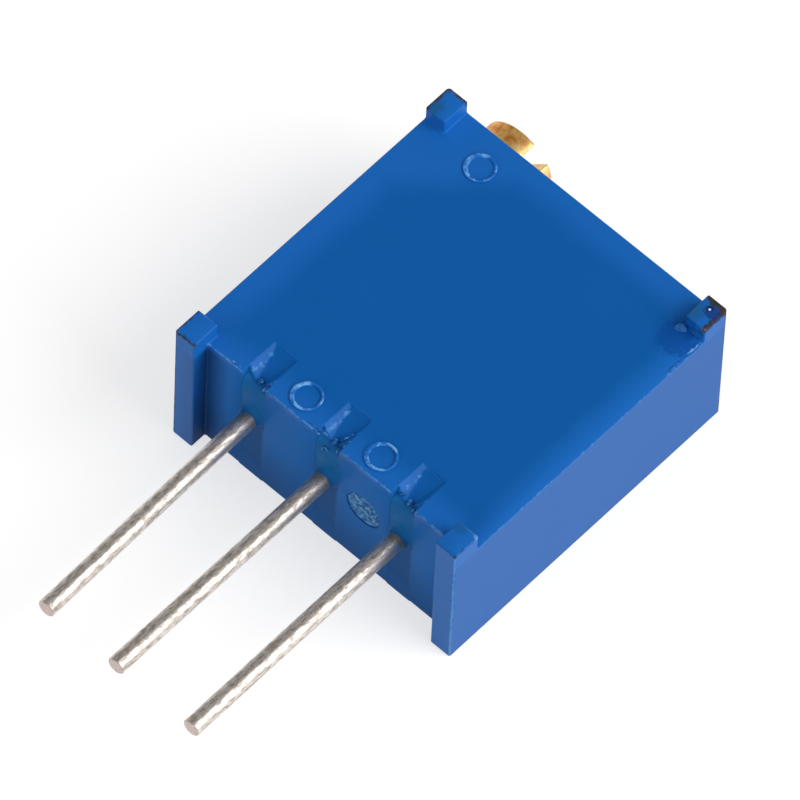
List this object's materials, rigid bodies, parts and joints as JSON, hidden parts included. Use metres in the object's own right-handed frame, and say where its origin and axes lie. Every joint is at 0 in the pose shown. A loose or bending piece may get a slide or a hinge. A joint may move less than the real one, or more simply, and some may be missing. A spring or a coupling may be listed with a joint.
{
  "type": "trimmer potentiometer",
  "caption": "Square blue multi-turn trimmer potentiometer: a slotted brass screw turns a worm wheel with a wiper over a ceramic element, with pins in line at the far end.",
  "frame": {"origin": "middle of the front face, on which the part lies", "axes": "+X along the row of pins, +Y towards the adjusting screw, +Z out of the back"},
  "size_m": [0.0096, 0.0187, 0.0048],
  "materials": {
    "blue_plastic": "satin moulded",
    "brass": "turned",
    "tin": "hot tinned",
    "resin": "cured",
    "rubber": "moulded",
    "steel": "stamped",
    "nylon": "moulded",
    "spring": "stamped",
    "ceramic": "fired",
    "resistor": "fired film",
    "silver": "fired film",
    "solder": "reflowed"
  },
  "bodies": {
    "case": {"housing": "blue_plastic", "front_cover": "blue_plastic", "screw_retainer": "steel", "ceramic_board": "ceramic", "resistance_track": "resistor", "collector_track": "silver", "end_conductor_1": "silver", "end_conductor_3": "silver", "pin_1": "tin", "solder_1": "solder", "pin_seal_1": "resin", "pin_2": "tin", "solder_2": "solder", "pin_seal_2": "resin", "pin_3": "tin", "solder_3": "solder", "pin_seal_3": "resin"},
    "screw": {"adjusting_screw": "brass", "screw_oring": "rubber"},
    "rotor": {"worm_wheel": "nylon", "wiper": "spring"}
  },
  "joints": [
    {"name": "screw_turn", "type": "hinge", "parent": "case", "child": "screw", "pos_m": [-0.00352, 0.00502, 0.0013], "axis": [0, 1, 0], "range_deg": [-4500, 4500]},
    {"name": "wheel_turn", "type": "hinge", "parent": "case", "child": "rotor", "pos_m": [0.00053, 0.0002, 0.0013], "axis": [0, 0, 1], "range_deg": [-140.62, 140.62]}
  ],
  "couplings": [
    {"joint": "wheel_turn", "follows": "screw_turn", "ratio": 0.03125}
  ]
}
